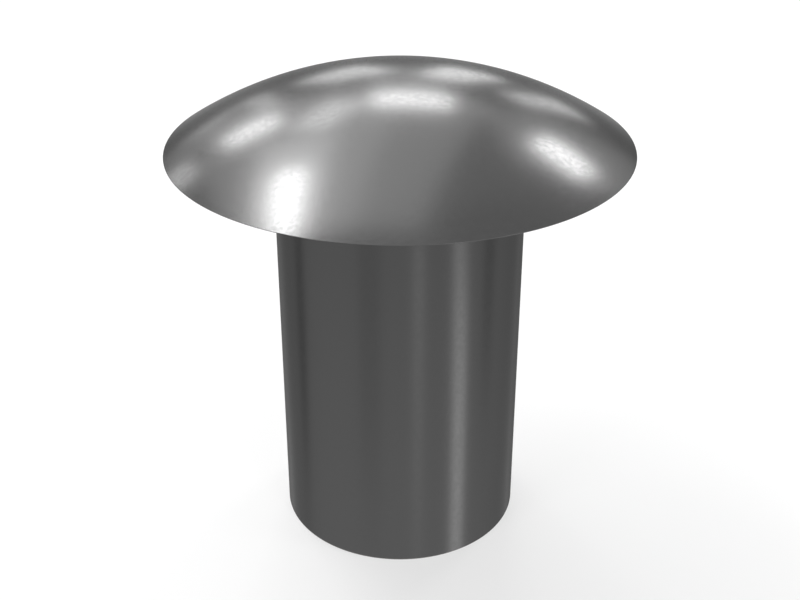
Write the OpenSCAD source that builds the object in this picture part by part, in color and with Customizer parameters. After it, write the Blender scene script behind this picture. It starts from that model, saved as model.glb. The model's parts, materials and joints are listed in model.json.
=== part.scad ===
// Hollow rivet: one cold-formed steel piece, with a domed head and a shank
// that is bored from its tail and closed under the head.
// Millimetres. The rivet stands on its tail, head up.
// Origin: on the axis, in the plane of the head's flat underside. +Z points up, out of the dome.

/* [Head] */
// Diameter of the head
head_d = 11; // [9:0.1:16]
// Height of the head above its flat underside, at the axis
head_h = 1.65; // [1.3:0.05:3.5]
// Thickness of the head at its edge
edge_t = 0.03; // [0.01:0.01:0.4]

/* [Shank] */
// Diameter of the shank
shank_d = 6; // [4:0.1:7.5]
// Length of the shank below the head
shank_l = 10; // [6:0.5:40]
// Radius of the fillet between the shank and the head
fillet_r = 0.25; // [0.05:0.05:0.6]
// Leg of the edge break round the outside of the tail
tail_c = 0.03; // [0.01:0.01:0.2]

/* [Bore] */
// Thickness of the shank's wall round the bore
wall_t = 0.9; // [0.65:0.05:1.5]
// Solid shank left between the tip of the bore and the head
solid_l = 0.3; // [0.2:0.05:1.5]
// Angle across the cone at the closed end of the bore
tip_angle = 118; // [90:1:150]
// Leg of the chamfer at the bore's mouth
mouth_c = 0.2; // [0.05:0.05:0.4]

/* [Hidden] */
$fn = 128;

// The dome is a cap of a sphere that rises from the top of the head's edge.
head_r = head_d / 2;
dome_rise = head_h - edge_t;
dome_r = (pow(head_r, 2) + pow(dome_rise, 2)) / (2 * dome_rise);

shank_r = shank_d / 2;
tail_z = -shank_l;

bore_r = shank_r - wall_t;
bore_tip_z = -solid_l;
bore_end_z = bore_tip_z - bore_r / tan(tip_angle / 2);

// How far the bore's cut runs on past the tail that it opens
overrun = 0.5;

// The sections below are half profiles for rotate_extrude: X is the distance from the axis
// and Y is the height. What joins the head runs up into it by edge_t, its least thickness.

// Flat underside, short upright edge and spherical dome
module head_section() {
    intersection() {
        translate([0, head_h - dome_r]) circle(dome_r);
        square([head_r, head_h]);
    }
}

// Straight shank with the outer edge of its tail broken
module shank_section() {
    polygon([
        [0, tail_z],
        [shank_r - tail_c, tail_z],
        [shank_r, tail_z + tail_c],
        [shank_r, edge_t],
        [0, edge_t]
    ]);
}

// Corner between shank and head, filled up to a hollow quarter circle
module fillet_section() {
    translate([shank_r, -fillet_r])
        difference() {
            translate([-fillet_r, 0]) square([2 * fillet_r, fillet_r + edge_t]);
            translate([fillet_r, 0]) circle(fillet_r);
        }
}

// Chamfered mouth, straight wall and conical closed end
module bore_section() {
    polygon([
        [0, tail_z - overrun],
        [bore_r + mouth_c + overrun, tail_z - overrun],
        [bore_r, tail_z + mouth_c],
        [bore_r, bore_end_z],
        [0, bore_tip_z]
    ]);
}

// The whole rivet is one solid of revolution
module rivet() {
    color("#6e6e6e")
        rotate_extrude()
            difference() {
                union() {
                    head_section();
                    shank_section();
                    fillet_section();
                }
                bore_section();
            }
}

rivet();
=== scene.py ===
import json
import math

import bmesh
import bpy
from bpy.props import FloatProperty, FloatVectorProperty, IntProperty, PointerProperty
from mathutils import Matrix, Vector


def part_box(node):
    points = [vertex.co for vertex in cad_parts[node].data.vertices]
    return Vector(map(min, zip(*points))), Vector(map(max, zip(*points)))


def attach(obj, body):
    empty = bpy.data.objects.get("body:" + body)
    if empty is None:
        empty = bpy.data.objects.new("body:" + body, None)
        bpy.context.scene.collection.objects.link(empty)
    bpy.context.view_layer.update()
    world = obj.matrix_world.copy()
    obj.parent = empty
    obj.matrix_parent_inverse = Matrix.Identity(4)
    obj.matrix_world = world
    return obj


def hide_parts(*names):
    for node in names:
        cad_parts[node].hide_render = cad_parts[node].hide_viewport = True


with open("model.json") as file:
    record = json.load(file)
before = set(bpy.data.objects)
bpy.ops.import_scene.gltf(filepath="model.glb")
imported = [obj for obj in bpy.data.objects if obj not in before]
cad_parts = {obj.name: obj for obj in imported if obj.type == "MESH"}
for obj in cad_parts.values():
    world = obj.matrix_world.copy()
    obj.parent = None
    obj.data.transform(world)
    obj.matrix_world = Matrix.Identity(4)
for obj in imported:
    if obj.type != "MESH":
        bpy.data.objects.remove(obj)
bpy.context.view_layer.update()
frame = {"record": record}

bl_info = {
    "name": "Hollow Rivet",
    "version": (1, 0, 0),
    "blender": (4, 5, 0),
    "location": "3D View > Sidebar > Rivet",
    "description": "Turns a cold-formed steel hollow rivet and lights it in a small studio",
    "category": "Add Mesh",
}

MM = 0.001
MOUNTS = {mount["name"]: mount for mount in frame["record"]["mounts"]}
NODE = "rivet"


def linear(hex_colour):
    """An sRGB hex value as the linear red, green and blue that shaders work in."""
    values = (int(hex_colour[i:i + 2], 16) / 255 for i in (1, 3, 5))
    return tuple(v / 12.92 if v <= 0.04045 else ((v + 0.055) / 1.055) ** 2.4 for v in values)


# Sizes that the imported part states: its box, and the walls of its mounts

HEAD_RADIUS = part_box(NODE)[1].x
HEAD_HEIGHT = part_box(NODE)[1].z
TAIL_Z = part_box(NODE)[0].z
SHANK_RADIUS = MOUNTS["shank"]["dims"]["r_mm"] * MM
BORE_RADIUS = MOUNTS["tail_bore"]["dims"]["r_mm"] * MM
FILLET_RADIUS = -MOUNTS["shank"]["pos_m"][2]
MOUTH_Z = MOUNTS["tail_bore"]["pos_m"][2]
BORE_END_Z = MOUTH_Z + MOUNTS["tail_bore"]["dims"]["length_mm"] * MM


def length(name, description, default, low=0.0, high=0.05):
    return FloatProperty(
        name=name, description=description, default=default, min=low, max=high,
        subtype="DISTANCE", unit="LENGTH", precision=5,
    )


class RivetSizes(bpy.types.PropertyGroup):
    """The sizes of the turned outline"""

    head_radius: length("Head radius", "From the axis to the head's edge", HEAD_RADIUS)
    head_height: length("Head height", "From the flat underside to the top of the dome", HEAD_HEIGHT)
    edge_thickness: length("Edge thickness", "Height of the head's upright edge, once tumbled", 0.01 * MM)
    fillet_radius: length("Fillet radius", "Hollow between the head and the shank", FILLET_RADIUS)
    shank_radius: length("Shank radius", "Outside of the shank", SHANK_RADIUS)
    shank_length: length("Shank length", "From the head's underside to the tail", -TAIL_Z)
    bore_radius: length("Bore radius", "Straight wall of the bore", BORE_RADIUS)
    mouth_chamfer: length("Mouth chamfer", "Leg of the chamfer at the bore's mouth", MOUTH_Z - TAIL_Z)
    bore_end: length("Bore end", "From the head's underside to the end of the bore's wall", -BORE_END_Z)
    tip_angle: FloatProperty(
        name="Tip angle", description="Angle across the cone at the bore's closed end",
        default=math.radians(118), min=math.radians(90), max=math.radians(150),
        subtype="ANGLE", unit="ROTATION",
    )
    segments: IntProperty(
        name="Segments", description="Faces round the rivet", default=384, min=48, max=512,
    )


def roughness(name, description, default):
    return FloatProperty(
        name=name, description=description, default=default, min=0.0, max=1.0, subtype="FACTOR",
    )


class RivetFinish(bpy.types.PropertyGroup):
    """The steel's colour and finish, outside and in the bore"""

    steel: FloatVectorProperty(
        name="Steel", description="Colour of the tumbled steel", size=3, min=0.0, max=1.0,
        subtype="COLOR", default=linear("#575757"),
    )
    edge_tint: FloatVectorProperty(
        name="Edge tint", description="Tint of the steel where it is seen edge on", size=3,
        min=0.0, max=1.0, subtype="COLOR", default=linear("#bcbcbc"),
    )
    bore_steel: FloatVectorProperty(
        name="Bore", description="Colour of the freshly cut steel in the bore", size=3,
        min=0.0, max=1.0, subtype="COLOR", default=linear("#8c8a87"),
    )
    tumbled: roughness("Tumbled", "Roughness of the outside", 0.22)
    cut: roughness("Cut", "Roughness of the bore and the tail's face", 0.34)


class StudioSettings(bpy.types.PropertyGroup):
    """The floor, the lamps and the camera"""

    floor: FloatVectorProperty(
        name="Floor", description="Colour of the floor", size=3, min=0.0, max=1.0,
        subtype="COLOR", default=linear("#ebebeb"),
    )
    lamp_level: FloatProperty(
        name="Lamp level", description="Multiplies the brightness of every lamp",
        default=1.0, min=0.0, max=4.0,
    )
    room_level: FloatProperty(
        name="Room level", description="Light that the white room adds to what isn't shiny",
        default=0.2, min=0.0, max=1.0,
    )
    camera_elevation: FloatProperty(
        name="Camera elevation", description="How far the camera looks down",
        default=math.radians(28.4), subtype="ANGLE", unit="ROTATION",
    )
    camera_distance: length("Camera distance", "From the camera to the point it looks at",
                            31.6 * MM, high=1.0)
    aim_depth: length("Aim depth", "The point it looks at, below the head's underside", 4.18 * MM)
    focal_length: FloatProperty(
        name="Focal length", description="Lens, on a 36 mm wide sensor", default=56.7,
        min=1.0, max=300.0, unit="CAMERA",
    )


# ---- Outline: points (distance from the axis, height, heading) in travelling order, head first.
# The metal lies to the right of the heading, so the surface's normal is to its left.


ARC_PITCH = math.radians(9)
DOME_PITCH = math.radians(0.45)
RUN_PITCH = 0.4 * MM
RIM_ROUND = 0.01 * MM
EDGE_ROUND = 0.004 * MM
TAIL_ROUND = 0.03 * MM
MOUTH_ROUND = 0.02 * MM
BORE_ROUND = 0.05 * MM
# A point this near the axis is on it
ON_AXIS = 1e-6 * MM
OUTSIDE, TAIL, BORE = range(3)


def step(point, heading, distance):
    return (point[0] + math.cos(heading) * distance, point[1] + math.sin(heading) * distance)


def straight(start, end, pitch):
    """Points along a straight run, at most a pitch apart, without its end."""
    heading = math.atan2(end[1] - start[1], end[0] - start[0])
    run = math.dist(start, end)
    count = max(1, math.ceil(run / pitch))
    return [(*step(start, heading, run * i / count), heading) for i in range(count)]


def arc(start, heading, turn, radius, pitch):
    """Points round an arc that leaves start on a heading and turns left by turn, with its end."""
    side = math.copysign(math.pi / 2, turn)
    centre = step(start, heading + side, radius)
    count = max(4, math.ceil(abs(turn) / pitch))
    headings = [heading + turn * i / count for i in range(count + 1)]
    return [(*step(centre, h - side, radius), h) for h in headings]


def follow(corners, pitch):
    """Points along straight runs whose inner corners are rounded. A corner is (r, z, radius, zone),
    and its zone holds for the run after it."""
    points = []
    start = corners[0][:2]
    for before, (r, z, radius, zone), after in zip(corners, corners[1:], corners[2:]):
        come = math.atan2(z - before[1], r - before[0])
        go = math.atan2(after[1] - z, after[0] - r)
        turn = (go - come + math.pi) % (2 * math.pi) - math.pi
        cut = radius * math.tan(abs(turn) / 2)
        tangent = step((r, z), come, -cut)
        points += [(*p, before[3]) for p in straight(start, tangent, pitch)]
        points += [(*p, zone) for p in arc(tangent, come, turn, radius, ARC_PITCH)[:-1]]
        start = step((r, z), go, cut)
    points += [(*p, corners[-2][3]) for p in straight(start, corners[-1][:2], pitch)]
    return points


def dome_radius(sizes):
    """The dome is a cap of a sphere that rises from the top of the head's edge."""
    rise = sizes.head_height - sizes.edge_thickness
    return (sizes.head_radius ** 2 + rise ** 2) / (2 * rise)


def outline(sizes):
    """The rivet's half section, from the top of the dome round to the tip of the bore."""
    head_r, edge = sizes.head_radius, sizes.edge_thickness
    dome_r = dome_radius(sizes)
    sweep = math.asin(head_r / dome_r)
    dome = arc((0, sizes.head_height), 0, -sweep, dome_r, DOME_PITCH)
    tail = -sizes.shank_length
    bore_r = sizes.bore_radius
    tip = bore_r / math.tan(sizes.tip_angle / 2)
    corners = [
        (*dome[-2][:2], 0, OUTSIDE),
        (head_r, edge, RIM_ROUND, OUTSIDE),
        (head_r, 0, EDGE_ROUND, OUTSIDE),
        (sizes.shank_radius, 0, sizes.fillet_radius, OUTSIDE),
        (sizes.shank_radius, tail, TAIL_ROUND, TAIL),
        (bore_r + sizes.mouth_chamfer, tail, MOUTH_ROUND, TAIL),
        (bore_r, tail + sizes.mouth_chamfer, MOUTH_ROUND, BORE),
        (bore_r, -sizes.bore_end, BORE_ROUND, BORE),
        (0, tip - sizes.bore_end, 0, BORE),
    ]
    top = [(*p, OUTSIDE) for p in dome[:-2]]
    return top + follow(corners, RUN_PITCH) + [(0, tip - sizes.bore_end, math.pi, BORE)]


def lathe(name, points, segments):
    """Turns an outline that starts and ends on the axis into a closed mesh with true normals."""
    built = bmesh.new()
    turns = [2 * math.pi * i / segments for i in range(segments)]
    rings = []
    normals = []
    for r, z, heading, _ in points:
        on_axis = r < ON_AXIS
        across, upward = -math.sin(heading), math.cos(heading)
        ring = []
        for angle in turns[:1] if on_axis else turns:
            c, s = math.cos(angle), math.sin(angle)
            ring.append(built.verts.new((r * c, r * s, z)))
            normals.append((0, 0, math.copysign(1, upward)) if on_axis else (across * c, across * s, upward))
        rings.append(ring)
    for (upper, lower), point in zip(zip(rings, rings[1:]), points):
        for i in range(segments):
            j = (i + 1) % segments
            if len(upper) == 1:
                corners = (upper[0], lower[i], lower[j])
            elif len(lower) == 1:
                corners = (upper[i], lower[0], upper[j])
            else:
                corners = (upper[i], lower[i], lower[j], upper[j])
            face = built.faces.new(corners)
            face.smooth = True
            face.material_index = point[3]
    mesh = bpy.data.meshes.new(name)
    built.to_mesh(mesh)
    built.free()
    mesh.normals_split_custom_set_from_vertices(normals)
    return mesh


# ---- Materials


def add_node(tree, kind, settings=None, links=None):
    """Adds a node, sets its properties and sockets by name, and links sockets to what feeds them."""
    node = tree.nodes.new(kind)
    for key, value in (settings or {}).items():
        if isinstance(key, str) and hasattr(node, key):
            setattr(node, key, value)
        else:
            node.inputs[key].default_value = value
    for key, source in (links or {}).items():
        tree.links.new(source, node.inputs[key])
    return node


def tinted(colour, share):
    """A colour made darker or lighter by a share, as a shader's four values."""
    return (*(min(c * share, 1) for c in colour), 1)


def new_material(name):
    material = bpy.data.materials.new(name)
    material.use_nodes = True
    material.node_tree.nodes.clear()
    return material, material.node_tree


GRAIN = 0.1 * MM
GRAIN_HEIGHT = 0.0004 * MM
GRAIN_SPREAD = 0.026
GRAIN_ROUGHNESS = 0.6
# Nearly all the values of a noise texture lie between these
NOISE_LOW = 0.3
NOISE_HIGH = 0.7
TONE_PATCH = 2.5 * MM
TONE_SPREAD = 0.015
DRILL_FEED = 0.1 * MM
FACING_FEED = 0.08 * MM
TOOL_MARK_HEIGHT = 0.004 * MM
TOOL_MARK_SPREAD = 0.05
TOOL_MARK_WANDER = 1.2
TOOL_MARK_DETAIL = 2.0
TOOL_MARK_DETAIL_SCALE = 0.4
# A wave texture turns through one wave in this share of its scaled length
WAVE = math.pi / 10


def tumbled_steel(finish):
    """Low-carbon steel, cold headed and barrel tumbled: a dark satin grey whose highlights are
    soft and break up into a very fine grain, left by the tumbling stones."""
    material, tree = new_material("cold_headed_steel_tumbled")
    place = add_node(tree, "ShaderNodeTexCoord").outputs["Object"]
    # The stones' dents are about 0.02 mm wide, and are drawn as coarse as they need to show
    grain = add_node(
        tree, "ShaderNodeTexNoise", {"Scale": 1 / GRAIN, "Detail": 1.0, "Roughness": GRAIN_ROUGHNESS},
        {"Vector": place},
    ).outputs["Fac"]
    rough = add_node(
        tree, "ShaderNodeMapRange",
        {
            "From Min": NOISE_LOW, "From Max": NOISE_HIGH,
            "To Min": finish.tumbled - GRAIN_SPREAD, "To Max": finish.tumbled + GRAIN_SPREAD,
        },
        {"Value": grain},
    ).outputs["Result"]
    bump = add_node(
        tree, "ShaderNodeBump", {"Strength": 1.0, "Distance": GRAIN_HEIGHT}, {"Height": grain},
    ).outputs["Normal"]
    # Oil and handling leave the tone a little uneven from place to place
    patch = add_node(
        tree, "ShaderNodeTexNoise", {"Scale": 1 / TONE_PATCH, "Detail": 2.0}, {"Vector": place},
    ).outputs["Fac"]
    dark, light = tinted(finish.steel, 1 - TONE_SPREAD), tinted(finish.steel, 1 + TONE_SPREAD)
    tone = add_node(
        tree, "ShaderNodeMix", {"data_type": "RGBA", 6: dark, 7: light}, {0: patch},
    ).outputs[2]
    steel = add_node(
        tree, "ShaderNodeBsdfPrincipled", {"Metallic": 1.0, "Specular Tint": (*finish.edge_tint, 1)},
        {"Base Color": tone, "Roughness": rough, "Normal": bump},
    )
    add_node(tree, "ShaderNodeOutputMaterial", links={"Surface": steel.outputs["BSDF"]})
    return material


def cut_steel(name, finish, settings, feed):
    """Steel that a tool has cut as the rivet turned: brighter than the tumbled outside, with fine
    rings at the tool's feed that catch the light as a satin sheen."""
    material, tree = new_material(name)
    place = add_node(tree, "ShaderNodeTexCoord").outputs["Object"]
    marks = add_node(
        tree, "ShaderNodeTexWave",
        {
            **settings, "Scale": WAVE / feed, "Distortion": TOOL_MARK_WANDER,
            "Detail": TOOL_MARK_DETAIL, "Detail Scale": TOOL_MARK_DETAIL_SCALE,
        },
        {"Vector": place},
    ).outputs["Fac"]
    bump = add_node(
        tree, "ShaderNodeBump", {"Strength": 1.0, "Distance": TOOL_MARK_HEIGHT}, {"Height": marks},
    ).outputs["Normal"]
    rough = add_node(
        tree, "ShaderNodeMapRange",
        {"To Min": finish.cut - TOOL_MARK_SPREAD, "To Max": finish.cut + TOOL_MARK_SPREAD},
        {"Value": marks},
    ).outputs["Result"]
    steel = add_node(
        tree, "ShaderNodeBsdfPrincipled",
        {"Base Color": (*finish.bore_steel, 1), "Metallic": 1.0},
        {"Roughness": rough, "Normal": bump},
    )
    add_node(tree, "ShaderNodeOutputMaterial", links={"Surface": steel.outputs["BSDF"]})
    return material


class RIVET_OT_turn_rivet(bpy.types.Operator):
    """Turn the whole rivet, head, shank and bore, as one piece of steel"""

    bl_idname = "hollow_rivet.turn_rivet"
    bl_label = "Turn Rivet"

    def execute(self, context):
        scene = context.scene
        mesh = lathe("hollow_rivet", outline(scene.rivet_sizes), scene.rivet_sizes.segments)
        mesh.materials.append(tumbled_steel(scene.rivet_finish))
        rings = {"wave_type": "RINGS", "rings_direction": "Z"}
        turns = {"wave_type": "BANDS", "bands_direction": "Z"}
        mesh.materials.append(cut_steel("steel_faced", scene.rivet_finish, rings, FACING_FEED))
        mesh.materials.append(cut_steel("steel_drilled", scene.rivet_finish, turns, DRILL_FEED))
        rivet = bpy.data.objects.new("hollow_rivet", mesh)
        scene.collection.objects.link(rivet)
        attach(rivet, "root")
        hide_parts(NODE)
        return {"FINISHED"}


# ---- Studio

FLOOR_RADIUS = 2.0
FLOOR_SIDES = 96
FLOOR_WHITE = 0.6
FLOOR_NEAR = 20 * MM
FLOOR_FAR = 90 * MM
LAMP_DISTANCE = 160 * MM
VIEW_WIDTH = 800
VIEW_HEIGHT = 600
SENSOR_WIDTH = 36.0
CLIP_NEAR = 1 * MM
CLIP_FAR = 10.0

# Each lamp is given by its glint on the dome, as the camera sees it: the name, the two ends of the
# glint in pixels from the view's upper left corner, the lamp's width across them in degrees and
# its brightness
LAMPS = [
    ("strip", (292, 170), (284, 240), 7, 13),
    ("strip_halo", (302, 140), (280, 238), 15, 2),
    ("left_box", (226, 145), (279, 119), 8, 12),
    ("back_box", (371, 100), (453, 104), 9, 11),
    ("right_box", (537, 140), (588, 176), 9, 14),
    ("tall_left", (308, 130), (350, 100), 8, 5),
    ("far_left", (172, 172), (188, 184), 6, 5),
    ("left_back", (252, 108), (276, 98), 12, 4),
    ("top_left", (322, 75), (366, 76), 10, 6),
    ("top_right", (440, 79), (490, 74), 7, 7),
    ("right_back", (530, 95), (562, 113), 16, 6),
    ("overhead", (358, 85), (328, 235), 45, 1),
    ("overhead_near", (340, 95), (305, 235), 25, 0.7),
    ("top_wall", (370, 84), (450, 86), 25, 1.5),
    ("left_wall", (168, 165), (225, 115), 35, 1),
    ("left_rim", (170, 152), (226, 106), 15, 2),
    ("right_wall", (550, 120), (585, 185), 30, 0.9),
]
# Lamps on the camera's own side, which the other sides of the dome mirror.
# Name, azimuth from the camera, elevation, width and height in degrees, brightness
FRONT_LAMPS = [
    ("front_left", -45, 40, 15, 10, 9),
    ("front_right", 30, 35, 10, 10, 10),
    ("front_tall", 70, 45, 10, 25, 4.5),
    ("front_wall", 15, 40, 70, 40, 0.5),
]

CARD_DISTANCE = 450 * MM
# Glowing cards that only the steel's reflections show, and which light nothing. Each paints a reflection on
# the steel: a darker band or patch where its brightness is below 1, and a brighter glint where its
# brightness is above 1.
# Name, azimuth, elevation, width and height in degrees, distance, brightness
CARDS = [
    ("edge_left", -167, -28, 42, 50, CARD_DISTANCE, 0.38),
    ("flag_a", -106, -22, 16, 36, CARD_DISTANCE, 0.44),
    ("flag_b", -28, -21, 27, 36, CARD_DISTANCE, 0.68),
    ("glint", 17, -27, 13, 34, CARD_DISTANCE, 1.25),
    ("shine_high", 54, -26, 13, 18, CARD_DISTANCE, 1.5),
    ("shine_low", 59, -38, 18, 26, CARD_DISTANCE, 2.5),
    ("flag_c", 89, -19, 18, 32, CARD_DISTANCE, 0.50),
    ("edge_right", 165, -28, 44, 50, CARD_DISTANCE, 0.31),
    ("dim_right", 95, 62, 80, 50, CARD_DISTANCE, 0.82),
    ("dim_back", 180, -6, 44, 28, 38 * MM, 0.45),
]
CARD_STEPS = 12
# Glowing rings round the set that only the steel's reflections show, and which light nothing. Each paints a
# band of reflection that is darker than the white room.
# Name, radius, height and cover of the lower edge and of the upper edge, brightness
RINGS = [
    ("horizon_ring", (40 * MM, -14 * MM, 1), (40 * MM, 6 * MM, 1), 0.66),
    ("low_ring", (394 * MM, -308 * MM, 0), (464 * MM, -187 * MM, 1), 0.74),
]
RING_STEPS = 96


def smooth(value):
    """0 below 0, 1 above 1, and a soft step between them."""
    t = min(max(value, 0), 1)
    return t * t * (3 - 2 * t)


def around(azimuth, elevation, distance):
    """A point seen from the rivet at an azimuth from the camera's side, to the right, and a height."""
    a, e = math.radians(azimuth), math.radians(elevation)
    return Vector((math.sin(a) * math.cos(e), -math.cos(a) * math.cos(e), math.sin(e))) * distance


def span(angle):
    """The length that fills an angle in degrees at the lamps' distance."""
    return 2 * LAMP_DISTANCE * math.tan(math.radians(angle) / 2)


def stand_back(studio):
    """From the point that the camera looks at to the camera."""
    return around(0, math.degrees(studio.camera_elevation), studio.camera_distance)


def mirrored(scene, point):
    """The place, at the lamps' distance, that the camera sees in the dome at a pixel of its view."""
    studio = scene.rivet_studio
    back = stand_back(studio)
    eye = back + Vector((0, 0, -studio.aim_depth))
    ahead = -back.normalized()
    right = Vector((1, 0, 0))
    up = right.cross(ahead)
    focal = VIEW_WIDTH * studio.focal_length / SENSOR_WIDTH
    ray = ahead * focal + right * (point[0] - VIEW_WIDTH / 2) + up * (VIEW_HEIGHT / 2 - point[1])
    ray.normalize()
    radius = dome_radius(scene.rivet_sizes)
    centre = Vector((0, 0, scene.rivet_sizes.head_height - radius))
    nearest = (centre - eye).dot(ray)
    depth = radius ** 2 - (centre - eye).length_squared + nearest ** 2
    if depth <= 0:
        raise RuntimeError(f"the camera doesn't see the dome at {point}")
    place = eye + ray * (nearest - math.sqrt(depth))
    outward = (place - centre).normalized()
    return place + (ray - 2 * ray.dot(outward) * outward) * LAMP_DISTANCE


class RIVET_OT_set_stage(bpy.types.Operator):
    """Set the pale floor, the white room, the lamps, the glowing cards and rings that paint reflections on
    the steel, and the camera
    """

    bl_idname = "hollow_rivet.set_stage"
    bl_label = "Set Stage"

    def execute(self, context):
        scene = context.scene
        studio = scene.rivet_studio
        self.lay_floor(scene, studio)
        self.paint_room(scene, studio)
        for name, first, last, width, brightness in LAMPS:
            start, end = mirrored(scene, first), mirrored(scene, last)
            self.hang_lamp(scene, name, (start + end) / 2, end - start, width, brightness)
        for name, azimuth, elevation, width, height, brightness in FRONT_LAMPS:
            along = around(azimuth + 90, 0, span(width))
            self.hang_lamp(scene, name, around(azimuth, elevation, LAMP_DISTANCE), along, height, brightness)
        for card in CARDS:
            self.hang_card(scene, *card)
        for ring in RINGS:
            self.stand_ring(scene, *ring)
        self.place_camera(scene, studio)
        scene.view_settings.view_transform = "Standard"
        return {"FINISHED"}

    def seen(self, tree):
        """1 for rays from the camera and for those that metal or glass sends on, else 0."""
        path = add_node(tree, "ShaderNodeLightPath").outputs
        sent_on = add_node(
            tree, "ShaderNodeMath", {"operation": "MAXIMUM"},
            {0: path["Is Glossy Ray"], 1: path["Is Transmission Ray"]},
        ).outputs[0]
        return add_node(
            tree, "ShaderNodeMath", {"operation": "MAXIMUM"}, {0: path["Is Camera Ray"], 1: sent_on},
        ).outputs[0]

    def lay_floor(self, scene, studio):
        """A pale floor that keeps the rivet's shadow and turns to plain white further off."""
        material, tree = new_material("pale_floor")
        place = add_node(tree, "ShaderNodeTexCoord").outputs["Object"]
        away = add_node(tree, "ShaderNodeVectorMath", {"operation": "LENGTH"}, {0: place}).outputs["Value"]
        share = add_node(
            tree, "ShaderNodeMapRange",
            {
                "interpolation_type": "SMOOTHSTEP", "From Min": FLOOR_NEAR, "From Max": FLOOR_FAR,
                "To Min": FLOOR_WHITE, "To Max": 1.0,
            },
            {"Value": away},
        ).outputs["Result"]
        factor = add_node(
            tree, "ShaderNodeMath", {"operation": "MULTIPLY"}, {0: share, 1: self.seen(tree)},
        ).outputs[0]
        paint = add_node(tree, "ShaderNodeBsdfDiffuse", {"Color": (*studio.floor, 1)}).outputs["BSDF"]
        white = add_node(
            tree, "ShaderNodeEmission", {"Color": (1, 1, 1, 1), "Strength": 1.0},
        ).outputs["Emission"]
        mix = add_node(tree, "ShaderNodeMixShader", links={0: factor, 1: paint, 2: white}).outputs["Shader"]
        add_node(tree, "ShaderNodeOutputMaterial", links={"Surface": mix})
        built = bmesh.new()
        bmesh.ops.create_circle(built, cap_ends=True, segments=FLOOR_SIDES, radius=FLOOR_RADIUS)
        mesh = bpy.data.meshes.new("floor")
        built.to_mesh(mesh)
        built.free()
        mesh.materials.append(material)
        floor = bpy.data.objects.new("floor", mesh)
        floor.location.z = TAIL_Z
        floor.visible_glossy = False
        scene.collection.objects.link(floor)

    def paint_room(self, scene, studio):
        scene.world = bpy.data.worlds.new("white_room")
        scene.world.use_nodes = True
        tree = scene.world.node_tree
        tree.nodes.clear()
        level = add_node(
            tree, "ShaderNodeMapRange", {"To Min": studio.room_level, "To Max": 1.0},
            {"Value": self.seen(tree)},
        ).outputs["Result"]
        room = add_node(
            tree, "ShaderNodeBackground", {"Color": (1, 1, 1, 1)}, {"Strength": level},
        ).outputs["Background"]
        add_node(tree, "ShaderNodeOutputWorld", links={"Surface": room})

    def hang_lamp(self, scene, name, middle, along, width, brightness):
        """A lamp that faces the rivet, as long as `along` and as wide as an angle in degrees."""
        light = bpy.data.lights.new(name, "AREA")
        light.shape = "RECTANGLE"
        light.size = along.length
        light.size_y = span(width)
        light.energy = brightness * scene.rivet_studio.lamp_level * math.pi * light.size * light.size_y
        lamp = bpy.data.objects.new(name, light)
        outward = middle.normalized()
        sideways = outward.cross(along).normalized()
        turn = Matrix((sideways.cross(outward), sideways, outward)).transposed()
        lamp.location = middle
        lamp.rotation_euler = turn.to_euler()
        lamp.visible_camera = False
        scene.collection.objects.link(lamp)

    def show_only_in_metal(self, scene, name, vertices, faces, cover, brightness):
        """A glowing sheet that only glossy rays meet. Its cover runs from 0, clear, to 1."""
        material, tree = new_material(name)
        share = add_node(tree, "ShaderNodeAttribute", {"attribute_name": "cover"}).outputs["Fac"]
        clear = add_node(tree, "ShaderNodeBsdfTransparent").outputs["BSDF"]
        glow = add_node(
            tree, "ShaderNodeEmission", {"Color": (1, 1, 1, 1), "Strength": brightness},
        ).outputs["Emission"]
        mix = add_node(tree, "ShaderNodeMixShader", links={0: share, 1: clear, 2: glow}).outputs["Shader"]
        add_node(tree, "ShaderNodeOutputMaterial", links={"Surface": mix})
        mesh = bpy.data.meshes.new(name)
        mesh.from_pydata(vertices, [], faces)
        mesh.attributes.new("cover", "FLOAT", "POINT").data.foreach_set("value", cover)
        mesh.materials.append(material)
        sheet = bpy.data.objects.new(name, mesh)
        scene.collection.objects.link(sheet)
        sheet.visible_camera = False
        sheet.visible_diffuse = False
        sheet.visible_shadow = False
        sheet.visible_transmission = False
        sheet.visible_volume_scatter = False

    def hang_card(self, scene, name, azimuth, elevation, width, height, distance, brightness):
        """A glowing card with soft sides, seen only in the steel's reflections, that paints one band or
        patch of reflection on the steel.
        """
        steps = range(CARD_STEPS + 1)
        vertices, cover = [], []
        for up in (2 * i / CARD_STEPS - 1 for i in steps):
            for side in (2 * j / CARD_STEPS - 1 for j in steps):
                vertices.append(
                    around(azimuth + side * width / 2, elevation + up * height / 2, distance)
                )
                cover.append(smooth(2 - 2 * abs(side)) * smooth(2 - 2 * abs(up)))
        faces = []
        for i in range(CARD_STEPS):
            for j in range(CARD_STEPS):
                k = i * (CARD_STEPS + 1) + j
                faces.append((k, k + 1, k + CARD_STEPS + 2, k + CARD_STEPS + 1))
        self.show_only_in_metal(scene, name, vertices, faces, cover, brightness)

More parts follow.
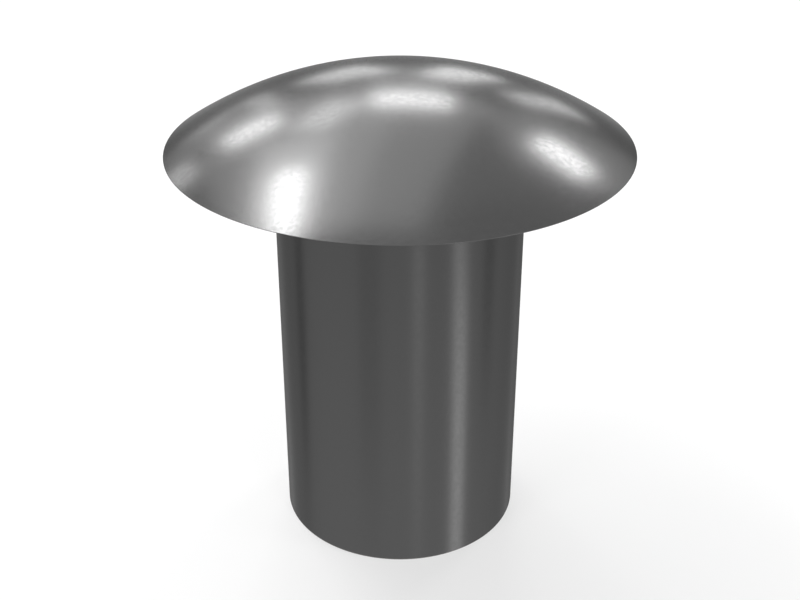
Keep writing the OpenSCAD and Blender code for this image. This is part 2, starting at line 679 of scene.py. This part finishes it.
    def stand_ring(self, scene, name, lower, upper, brightness):
        """A glowing ring round the set, seen only in the steel's reflections, that paints a band of
        reflection on it. Its two edges are given as radius, height and cover.
        """
        vertices, cover, faces = [], [], []
        for i in range(RING_STEPS):
            angle = 2 * math.pi * i / RING_STEPS
            for radius, height, share in (lower, upper):
                vertices.append((radius * math.cos(angle), radius * math.sin(angle), height))
                cover.append(share)
            k, following = 2 * i, 2 * ((i + 1) % RING_STEPS)
            faces.append((k, following, following + 1, k + 1))
        self.show_only_in_metal(scene, name, vertices, faces, cover, brightness)

    def place_camera(self, scene, studio):
        lens = bpy.data.cameras.new("camera")
        lens.lens = studio.focal_length
        lens.clip_start = CLIP_NEAR
        lens.clip_end = CLIP_FAR
        camera = bpy.data.objects.new("camera", lens)
        back = stand_back(studio)
        camera.location = back + Vector((0, 0, -studio.aim_depth))
        camera.rotation_euler = back.to_track_quat("Z", "Y").to_euler()
        scene.collection.objects.link(camera)
        scene.camera = camera


class RIVET_PT_panel(bpy.types.Panel):
    """Lists the rivet's sizes, finish and studio, and the steps that make them"""

    bl_label = "Hollow Rivet"
    bl_idname = "RIVET_PT_panel"
    bl_space_type = "VIEW_3D"
    bl_region_type = "UI"
    bl_category = "Rivet"

    def draw(self, context):
        scene = context.scene
        for group, operator in (
            (scene.rivet_sizes, None),
            (scene.rivet_finish, RIVET_OT_turn_rivet),
            (scene.rivet_studio, RIVET_OT_set_stage),
        ):
            column = self.layout.column()
            for name in group.__annotations__:
                column.prop(group, name)
            if operator:
                column.operator(operator.bl_idname)


CLASSES = (
    RivetSizes, RivetFinish, StudioSettings, RIVET_OT_turn_rivet, RIVET_OT_set_stage, RIVET_PT_panel,
)


def register():
    for entry in CLASSES:
        bpy.utils.register_class(entry)
    bpy.types.Scene.rivet_sizes = PointerProperty(type=RivetSizes)
    bpy.types.Scene.rivet_finish = PointerProperty(type=RivetFinish)
    bpy.types.Scene.rivet_studio = PointerProperty(type=StudioSettings)


def unregister():
    del bpy.types.Scene.rivet_studio
    del bpy.types.Scene.rivet_finish
    del bpy.types.Scene.rivet_sizes
    for entry in reversed(CLASSES):
        bpy.utils.unregister_class(entry)


def main():
    register()
    bpy.ops.hollow_rivet.turn_rivet()
    bpy.ops.hollow_rivet.set_stage()


if __name__ == "__main__":
    main()
